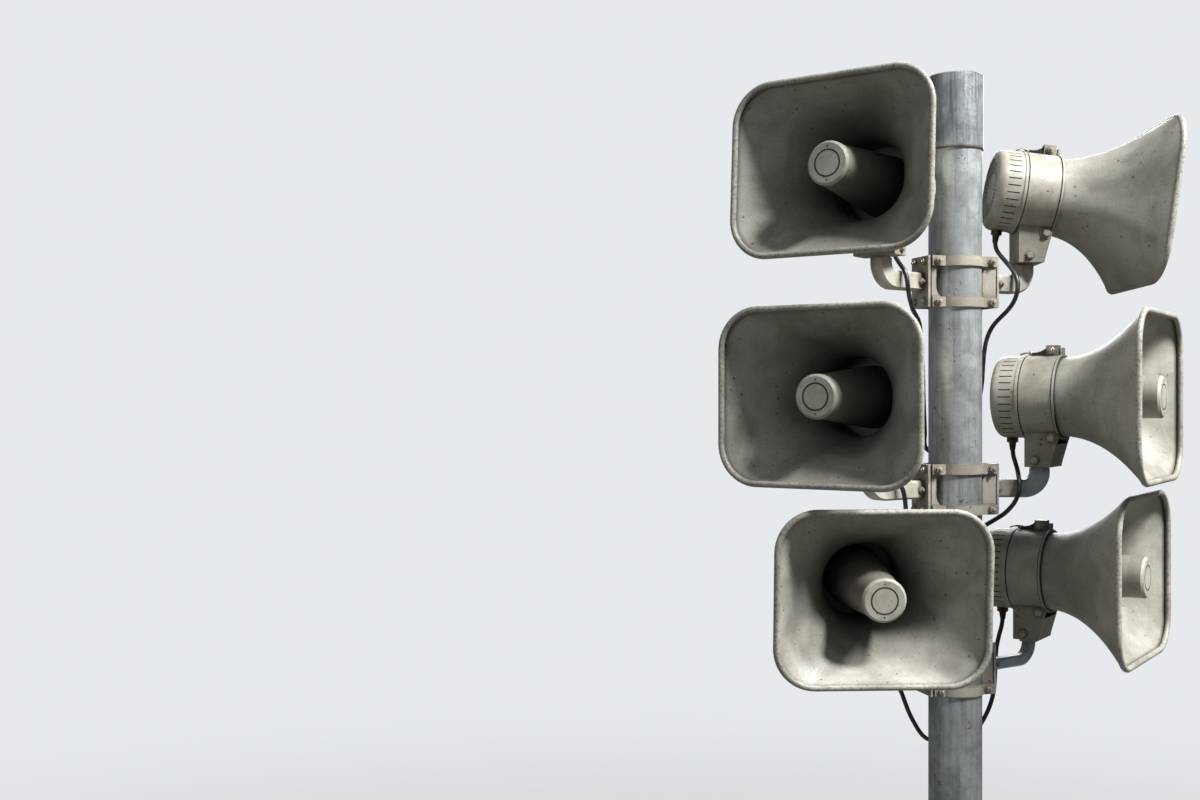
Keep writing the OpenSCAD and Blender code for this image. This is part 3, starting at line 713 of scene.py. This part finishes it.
def make_lead(name):
    """Lead from its gland to the mast."""
    line = smooth_line([(x, y, z + MAST_TOP / MM) for x, y, z in LEADS[name]], LEAD_PARTS)
    shape = Shape()
    shape.add(*tube(line, LEAD_D / 2, LEAD_SIDES))
    lead = shape.piece(name + "_cable", [sheath], None)
    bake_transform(lead)
    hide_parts(name + "_lead")


for name in LEADS:
    make_lead(name)


# Flares

def grow(start, end, share, power):
    """Size at a share of the flare's length, on a power curve."""
    return start + (end - start) * share ** power


def flare_ring(x, share, offset, columns):
    """Rounded rectangle of the flare at a share of its length, columns points a corner."""
    corner = grow(THROAT_R, MOUTH_CORNER_R - BEAD_R, share, 1)
    half_w = grow(THROAT_R, MOUTH_W / 2 - BEAD_R, share, FLARE_POWER_W)
    half_h = grow(THROAT_R, MOUTH_H / 2 - BEAD_R, share, FLARE_POWER_H)
    ring = []
    for quarter, (side_y, side_z) in enumerate(((1, 1), (-1, 1), (-1, -1), (1, -1))):
        for k in range(columns):
            a = math.radians(90 * (quarter + k / (columns - 1)))
            ring.append((
                x,
                side_y * (half_w - corner) + (corner + offset) * math.cos(a),
                side_z * (half_h - corner) + (corner + offset) * math.sin(a),
            ))
    return ring


def make_flare(name):
    """The bell with its rolled bead, finer than the CAD one, on the same lines.

    Each row is its x, its share of the length, its offset from the middle of the wall,
    and the values of the attributes rim and line; line marks the ring just inside the bead
    that takes a line of painted shade. The rows run up the outer skin, round the bead from
    one skin to the other, and back down the inner skin.
    """
    steps, bead_steps, columns = 30, 20, 14
    half_wall = BELL_WALL / 2
    bead_x = PIN_SETBACK - BEAD_R
    skin_x = bead_x - BEAD_R * 0.9
    bead_turn = 330
    skin = [(BAND_X + (skin_x - BAND_X) * (i / steps), i / steps) for i in range(steps + 1)]
    rows = [(BAND_X - NECK_LEN, 0, half_wall, 0, 0)]
    rows += [(x, share, half_wall, 0, 0) for x, share in skin]
    for i in range(bead_steps + 1):
        a = math.radians(bead_turn / 2 - bead_turn * i / bead_steps)
        rows.append((bead_x + BEAD_R * math.cos(a), 1, BEAD_R * math.sin(a), 1, 0))
    rows += [(x, share, -half_wall, 0, 1 if share == 1 else 0) for x, share in skin[::-1]]
    rows.append((BAND_X - NECK_LEN, 0, -half_wall, 0, 0))
    points = []
    for x, share, offset, _, _ in rows:
        points += flare_ring(x, share, offset, columns)
    shape = Shape()
    shape.add(points, ring_faces(len(rows), 4 * columns, closed_rows=True))
    flare = shape.piece(name + "_flare", [flare_paint], name + "_horn",
                        horn_places(name)[1], 60)
    for key, index in (("rim", 3), ("line", 4)):
        values = [float(row[index]) for row in rows for k in range(4 * columns)]
        flare.data.attributes.new(key, "FLOAT", "POINT").data.foreach_set("value", values)
    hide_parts(name + "_bell")


# Driver covers

def cut_slot(shape, points, columns, row, first, last, along, inward):
    """Sunk pocket between two rows of a lathe and a range of its columns, its walls and floor in
    the near-black of painted shade.
    """
    line = [k % columns for k in range(first, last + 1)]
    corners = [row * columns + k for k in line] + [(row + 1) * columns + k for k in line[::-1]]
    rim = [Vector(points[i]) for i in corners]
    floor = [p + Vector((along, 0, 0)) - Vector((0, p.y, p.z)).normalized() * inward for p in rim]
    count = len(rim)
    bottoms = [[count + k, count + k + 1, 2 * count - 2 - k, 2 * count - 1 - k]
               for k in range(len(line) - 1)]
    shape.add(rim + floor, ring_faces(2, count) + bottoms, paint=1)


def driver_profile():
    """Outline (x, radius) from the sunk rear disc to the groove.

    With it come the rows where the side's slots and the groove, painted near-black as shade, start.
    """
    rim_front = COVER_X - GROOVE
    rim_rear = rim_front - RIM_W
    rim_r = COVER_R + RIM_OUT
    floor_x = REAR_X + SLOT_DEEP
    profile = [
        (floor_x, 2), (floor_x, DISC_R / 2), (floor_x, DISC_R / 2 + SLOT_LEN),
        (floor_x, DISC_R - BEVEL), (REAR_X + 0.5, DISC_R), (REAR_X, DISC_R + 0.5),
        (REAR_X, COVER_R - COVER_ROUND),
    ]
    for i in range(1, 7):
        a = math.radians(15 * i)
        profile.append((REAR_X + COVER_ROUND * (1 - math.cos(a)),
                        COVER_R - COVER_ROUND * (1 - math.sin(a))))
    side_row = len(profile)
    profile += [
        (COVER_X - SLOT_SETBACK - SLOT_LEN, COVER_R), (COVER_X - SLOT_SETBACK, COVER_R),
        (rim_rear - BEVEL, COVER_R), (rim_rear, rim_r - BEVEL), (rim_rear + BEVEL, rim_r),
        (rim_front - BEVEL, rim_r), (rim_front, rim_r - BEVEL),
    ]
    groove_row = len(profile) - 1
    profile += [(rim_front, COVER_R - GROOVE_DEEP), (COVER_X - 0.2, COVER_R - GROOVE_DEEP)]
    return profile, side_row, groove_row


def make_driver(name):
    """Driver cover with slots round its side, a raised rim, and slots in its sunk rear disc; the
    slots, the groove and the front end are painted near-black as shade.
    """
    profile, side_row, groove_row = driver_profile()
    pitch = 360 / COVER_SLOTS
    side_half = math.degrees(SLOT_W / 2 / COVER_R)
    rear_half = math.degrees(SLOT_W / 2 / (DISC_R * 0.7))
    turns = (-rear_half, -side_half, side_half, rear_half, pitch / 2)
    angles = [math.radians(pitch * k + turn) for k in range(COVER_SLOTS) for turn in turns]
    columns = len(angles)
    points = [(x, r * math.cos(a), r * math.sin(a)) for x, r in profile for a in angles]
    # By the slots' first row: their first and last turn, and their depth along x and inward
    slots = {1: (0, 3, SLOT_DEEP, 0), side_row: (1, 2, 0, SLOT_DEEP)}
    plain = []
    # Faces painted near-black as shade: the groove, and the front end deep inside the band
    dark = []
    for number, quad in enumerate(ring_faces(len(profile), columns)):
        row, column = divmod(number, columns)
        if row in slots and slots[row][0] <= column % len(turns) < slots[row][1]:
            continue
        (dark if row >= groove_row else plain).append(quad)
    rear_end, front_end = end_caps(len(profile), columns)
    shape = Shape()
    shape.add(points, plain + [rear_end])
    shape.add(points, dark + [front_end], paint=1)
    for row, (first, last, along, inward) in slots.items():
        for k in range(0, columns, len(turns)):
            cut_slot(shape, points, columns, row, k + first, k + last, along, inward)
    driver = shape.piece(name + "_driver", [driver_paint, gap_shade], name + "_horn",
                         horn_places(name)[1], 30)
    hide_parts(name + "_cover")


def make_gland(name):
    """Gland under the cover: dull brass hexagon and ferrule, and a tapered black sleeve.

    The outlines are (distance down from the gland's top, radius).
    """
    down = turned((GLAND_X, 0, -COVER_R + GLAND_SUNK), (0, 0, -1))
    ferrule = [(16, 10.5), (18, 10.5), (GLAND_DROP + GLAND_SUNK, 8.8)]
    rings = [(18, 9.6)]
    for k in range(4):
        x = 20 + 4 * k
        r = 9.4 - 0.55 * k
        rings += [(x, r), (x + 2.6, r - 0.1), (x + 3, r - 0.9), (x + 3.6, r - 0.9)]
    rings += [(37, 7.2), (38, 6.6)]
    shape = Shape()
    shape.add(*lathe([(0, 15.5), (4, 15.5), (16, 15.5), (16.5, 13)], 6), place=down)
    shape.add(*lathe(ferrule, 24), place=down)
    shape.add(*lathe(rings, 24), place=down, paint=1)
    shape.piece(name + "_gland", [gland_brass, sheath], name + "_horn",
                horn_places(name)[1])


# Fittings of the horns

def make_band_fittings(name):
    """Bolt through the top ear, and the latch's roller and wire bail."""
    ear_x = (EAR_REAR + EAR_FRONT) / 2
    shape = Shape()
    for side, bolt in ((1, EAR_BOLT), (-1, EAR_NUT)):
        place = turned((ear_x, side * EAR_W / 2, BAND_R + EAR_BOLT_UP), (0, side, 0), spin=12)
        shape.add(*hex_bolt(*bolt), place=place)
    roller = turned((COVER_X + 4, -9, BAND_R + BAIL_UP), (0, 1, 0))
    shape.add(*lathe([(0, 4.5), (1, 5.5), (17, 5.5), (18, 4.5)], 16), place=roller)
    bends = ((4, -11, 0), (-8, -11, 2), (-20, -7, -1), (-24, 0, -3),
             (-20, 7, -1), (-8, 11, 2), (4, 11, 0))
    bail = smooth_line([(COVER_X + x, y, BAND_R + BAIL_UP + z) for x, y, z in bends], 5)
    shape.add(*tube(bail, BAIL_R, 8))
    shape.piece(name + "_band_bolt", [bolt_steel], name + "_horn",
                horn_places(name)[1])


def make_latch_strip(name):
    """Black ribbed strip over the band's latch strap, from its rear end up to the ear."""
    rear_x = COVER_X + 8
    low_z = BAND_R + LATCH_UP
    line = [(rear_x, low_z)]
    for k in range(LATCH_RIBS):
        x = COVER_X + 11 + k * (EAR_REAR - COVER_X - 16) / LATCH_RIBS
        z = low_z + 9 * (k / LATCH_RIBS) ** 2
        line += [(x, z + 1.2), (x + 1.6, z + 1.4), (x + 2.1, z)]
    line += [(EAR_REAR, EAR_TOP - 4), (EAR_REAR, BAND_R - 1), (rear_x, BAND_R - 1)]
    points = [(x, y, z) for y in (-LATCH_HALF_W, LATCH_HALF_W) for x, z in line]
    shape = Shape()
    shape.add(points, ring_faces(2, len(line)) + end_caps(2, len(line)))
    shape.piece(name + "_latch_strip", [sheath], name + "_horn",
                horn_places(name)[1], 20)


def make_seams(name):
    """Painted shade: near-black rings in the gap behind the band's lip and where the flare leaves
    the band.
    """
    lip_x = BAND_X - LIP_LEN
    shape = Shape()
    for start, end, inner, outer in ((lip_x - 2.2, lip_x + 0.1, BAND_R - 1, BAND_R + 1.2),
                                     (BAND_X - 0.2, BAND_X + 1.8, THROAT_R + 2, BAND_R - 2.5)):
        outline = [(start, inner), (start, outer - 0.5), (start + 0.5, outer),
                   (end - 0.5, outer), (end, outer - 0.5), (end, inner)]
        shape.add(*hoop(outline, 96))
    shape.piece(name + "_seams", [gap_shade], name + "_horn", horn_places(name)[1])


def make_nozzle_marks(name):
    """Painted shade in the groove round the plug in the nozzle's tip, and two small dark discs
    beside it, painted shade for sunk moulding marks.
    """
    sunk_x = PIN_SETBACK - 2.8
    proud_x = PIN_SETBACK + 0.1
    shape = Shape()
    shape.add(*hoop([(sunk_x, PLUG_R + 0.1), (proud_x, PLUG_R - 0.4),
                     (proud_x, PLUG_R + 3.6), (sunk_x, PLUG_R + 2.9)], 48))
    for side in (1, -1):
        mark = turned((PIN_SETBACK - 1, 0, side * (PLUG_R + MARK_REACH)), (1, 0, 0))
        shape.add(*lathe([(0, 2.4), (1.1, 2.4), (1.3, 2.0)], 10), place=mark)
    shape.piece(name + "_nozzle_marks", [gap_shade], name + "_horn",
                horn_places(name)[1])


def make_bracket_bolts(name):
    """Bolts on round bosses that hold the band, and the lower bolts beside the pin."""
    shape = Shape()
    for side in (1, -1):
        for x, z, across, boss_r, boss_t in CHEEK_BOLTS:
            washer_r = across * 0.7
            face = turned((x, side * BRACKET_W / 2, z), (0, side, 0), spin=18)
            boss = [(0, boss_r), (boss_t - BEVEL, boss_r),
                    (boss_t, boss_r - 0.8), (boss_t, boss_r - 3)]
            shape.add(*lathe(boss, 32), place=face, paint=1)
            shape.add(*hex_bolt(across, across * 0.45, washer_r, 1.5),
                      place=face @ Matrix.Translation((boss_t, 0, 0)))
            stain = [(boss_t, washer_r + 2.2), (boss_t + 0.4, washer_r + 1.8),
                     (boss_t + 0.4, washer_r - 1)]
            shape.add(*lathe(stain, 32), place=face, paint=2)
    paints = [bolt_steel, bracket_paint, rust_ring]
    shape.piece(name + "_bracket_bolts", paints, name + "_horn",
                horn_places(name)[0])


# Clamps and arms

def clamp_z(level):
    """Height of a clamp's middle, in millimetres."""
    return MAST_TOP / MM - CLAMPS[level][1] - ARM_DROP


def clamp_turn(level):
    """Turn of a clamp about the mast. Its own x runs along its channel plates."""
    return Matrix.Rotation(math.radians(CLAMPS[level][0]), 4, "Z")


def make_clamp_bolts(level):
    """Big bolts at the straps' ends and through the arms' foot plates."""
    reach = CLAMPS[level][2]
    strap_z = CLAMP_H / 2 - STRAP_H / 2
    shape = Shape()
    for z in (-strap_z, strap_z):
        for side in (1, -1):
            for end in (1, -1):
                at = (end * (reach - STRAP_BOLT_INSET), side * (EAR_Y + STRAP_T), z)
                shape.add(*hex_bolt(*STRAP_BOLT), place=turned(at, (0, side, 0), spin=25 * end))
    for z in (-PAD_Z, PAD_Z):
        for end in (1, -1):
            for y in (-PAD_Y, PAD_Y):
                at = (end * (reach + FOOT_GAP + CLAMP_T), y, z)
                shape.add(*hex_bolt(*FOOT_BOLT), place=turned(at, (end, 0, 0), spin=10))
    place = Matrix.Translation((0, 0, clamp_z(level))) @ clamp_turn(level)
    shape.piece(level + "_clamp_bolts", [bolt_steel], ROOT, place)


def make_bar_bolts(name):
    """A bolt through the bar beside its foot plate, with a nut on the far side."""
    level = name.split("_")[0]
    width = LOW_BAR_W if level == "bottom" else BAR_W
    side = -1 if name.endswith("left") else 1
    foot = clamp_turn(level) @ Vector((side * (CLAMPS[level][2] + FOOT_GAP + CLAMP_T), 0, 0))
    x, y, _ = (c / MM for c in pin_place(name))
    course = (Vector((x, y, 0)) - foot).normalized()
    shape = Shape()
    for way in (1, -1):
        out = way * Vector((-course.y, course.x, 0))
        at = foot + BAR_BOLT_REACH * course + out * width / 2 + Vector((0, 0, clamp_z(level)))
        shape.add(*hex_bolt(*BAR_BOLT), place=turned(at, out, spin=10))
    shape.piece(name + "_bar_bolts", [bolt_steel], ROOT)


# Pieces of each horn and finishes of the CAD nodes

def finish_node(node, material):
    """Give a CAD node its finish."""
    mesh = frame["nodes"][node].data
    mesh.materials.clear()
    mesh.materials.append(material)


for name in AIMS:
    make_flare(name)
    make_driver(name)
    make_gland(name)
    make_band_fittings(name)
    make_latch_strip(name)
    make_seams(name)
    make_bracket_bolts(name)
    make_nozzle_marks(name)
    make_bar_bolts(name)
    beige = arm_paint(name + "_arm_paint", pin_place(name), BLUE_REACH.get(name))
    finish_node(name + "_arm", beige)
    finish_node(name + "_bracket", bracket_paint)
    finish_node(name + "_band", band_paint)
    finish_node(name + "_nozzle", nozzle_paint)
for level in CLAMPS:
    make_clamp_bolts(level)
    finish_node(level + "_clamp_plates", clamp_paint)
    finish_node(level + "_clamp_straps", strap_paint)
finish_node("mast", zinc)
finish_node("mast_cap", sleeve)


# Floor, light and background

def make_floor():
    """Pale floor that keeps the shadow near the mast and fades into the background far away.

    It throws less light up at the horns than its own look would.
    """
    f = Finish("studio_floor")
    seen = f.node("ShaderNodeLightPath").outputs["Is Camera Ray"]
    pale = f.mix(f.noise(3, 3), tone(226, 226, 224), tone(232, 232, 230))
    f.done(f.mix(seen, tone(150, 150, 146), pale), 0.9)
    away = f.node("ShaderNodeVectorMath", operation="LENGTH")
    f.link(f.place, away.inputs[0])
    share = f.math("MULTIPLY", seen, f.span(away.outputs["Value"], 3, 16, 0.45, 1.0))
    glow = f.node("ShaderNodeEmission")
    glow.inputs["Color"].default_value = BACKGROUND
    blend = f.node("ShaderNodeMixShader")
    f.link(share, blend.inputs[0])
    f.link(f.shader.outputs[0], blend.inputs[1])
    f.link(glow.outputs[0], blend.inputs[2])
    f.link(blend.outputs[0], f.tree.nodes["Material Output"].inputs["Surface"])
    mesh = bpy.data.meshes.new("studio_floor")
    reach = 40
    corners = [(-reach, -reach, 0), (reach, -reach, 0), (reach, reach, 0), (-reach, reach, 0)]
    mesh.from_pydata(corners, [], [[0, 1, 2, 3]])
    mesh.materials.append(f.material)
    floor = bpy.data.objects.new("studio_floor", mesh)
    bpy.context.scene.collection.objects.link(floor)


def make_light(name, place, size, watts):
    """Round soft light that looks at the horns."""
    data = bpy.data.lights.new(name, "AREA")
    data.shape = "DISK"
    data.size = size
    data.energy = watts
    lamp = bpy.data.objects.new(name, data)
    lamp.location = place
    lamp.rotation_euler = (Vector(AIM_POINT) - Vector(place)).to_track_quat("-Z", "Y").to_euler()
    bpy.context.scene.collection.objects.link(lamp)


def make_world():
    """Soft even light, and a pale background for the camera, also through clear pieces."""
    world = bpy.data.worlds.new("studio")
    world.use_nodes = True
    tree = world.node_tree
    light = tree.nodes["Background"]
    light.inputs["Color"].default_value = (0.90, 0.94, 1.0, 1)
    light.inputs["Strength"].default_value = 0.22
    seen = tree.nodes.new("ShaderNodeBackground")
    seen.inputs["Color"].default_value = BACKGROUND
    seen.inputs["Strength"].default_value = 1.0
    rays = tree.nodes.new("ShaderNodeLightPath")
    either = tree.nodes.new("ShaderNodeMath")
    either.operation = "MAXIMUM"
    pick = tree.nodes.new("ShaderNodeMixShader")
    tree.links.new(rays.outputs["Is Camera Ray"], either.inputs[0])
    tree.links.new(rays.outputs["Is Transmission Ray"], either.inputs[1])
    tree.links.new(either.outputs[0], pick.inputs[0])
    tree.links.new(light.outputs[0], pick.inputs[1])
    tree.links.new(seen.outputs[0], pick.inputs[2])
    tree.links.new(pick.outputs[0], tree.nodes["World Output"].inputs["Surface"])
    bpy.context.scene.world = world


make_floor()
make_light("key", (2.5, -3.0, 8.8), 0.9, 620)
make_light("side", (3.7, -1.7, 8.0), 1.0, 420)
make_light("fill", (-4.5, -3.4, 4.8), 3.0, 30)
make_light("rear", (1.6, 5.0, 6.2), 3.0, 200)
make_world()
bpy.context.scene.view_settings.view_transform = "Standard"
